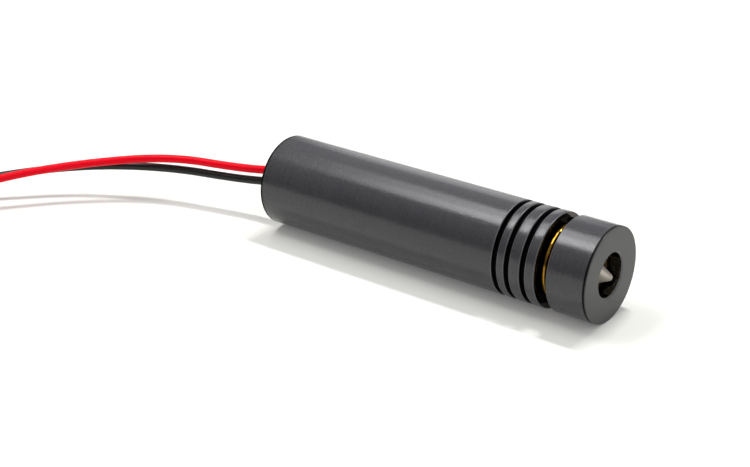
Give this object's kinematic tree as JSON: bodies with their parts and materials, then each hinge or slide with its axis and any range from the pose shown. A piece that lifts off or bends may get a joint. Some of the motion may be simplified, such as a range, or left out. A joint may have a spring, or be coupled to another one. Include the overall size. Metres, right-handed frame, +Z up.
{
  "type": "laser diode module",
  "caption": "Round black metal line laser module with a screw-in focusing head, ribbed grip, glass line lens and a red and a black supply wire.",
  "frame": {"origin": "middle of the module's length on the surface that it lies on, below the optical axis", "axes": "+X along the optical axis, the way the beam leaves; +Z up; the wires leave towards -X and bend to -Y"},
  "size_m": [0.1534, 0.0538, 0.016],
  "materials": {
    "black_anodised": "satin black anodised, fine turned",
    "brass": "turned, bright",
    "lens_glass": "polished, coated",
    "spring_steel": "drawn wire",
    "diode_metal": "gold plated",
    "tinned_wire": "tinned",
    "sleeve_plastic": "thin extruded tube",
    "board_laminate": "green solder mask",
    "chip_case": "moulded",
    "capacitor_ceramic": "fired",
    "plug_plastic": "moulded",
    "red_pvc": "smooth extruded",
    "black_pvc": "smooth extruded"
  },
  "bodies": {
    "housing": {"housing": "black_anodised", "diode_holder": "brass", "diode_ring": "brass", "diode_window": "lens_glass", "diode_header": "diode_metal", "diode_can": "diode_metal", "diode_chip": "diode_metal", "diode_leads": "tinned_wire", "driver_chip_pins": "tinned_wire", "inner_conductors": "tinned_wire", "red_wire_tip": "tinned_wire", "black_wire_tip": "tinned_wire", "insulating_sleeve": "sleeve_plastic", "driver_board": "board_laminate", "driver_chip": "chip_case", "driver_resistors": "chip_case", "driver_capacitors": "capacitor_ceramic", "rear_plug": "plug_plastic", "red_wire": "red_pvc", "red_wire_tail": "red_pvc", "black_wire": "black_pvc", "black_wire_tail": "black_pvc"},
    "focus_carriage": {"focus_spring": "spring_steel"},
    "focus_head": {"front_cap": "black_anodised", "lens_barrel": "brass", "line_lens": "lens_glass", "line_lens_ring": "black_anodised", "collimating_lens": "lens_glass", "collimator_ring": "black_anodised"}
  },
  "joints": [
    {"name": "focus_travel", "type": "slide", "parent": "housing", "child": "focus_carriage", "axis": [1, 0, 0], "range_m": [-0.00151, 0.00101], "deforming": ["focus_spring"]},
    {"name": "focus_turn", "type": "hinge", "parent": "focus_carriage", "child": "focus_head", "pos_m": [0.0185, 0, 0.008], "axis": [1, 0, 0], "range_deg": [-1080, 720]}
  ],
  "couplings": [
    {"joint": "focus_travel", "follows": "focus_turn", "m_per_rad": 0.000079577}
  ]
}
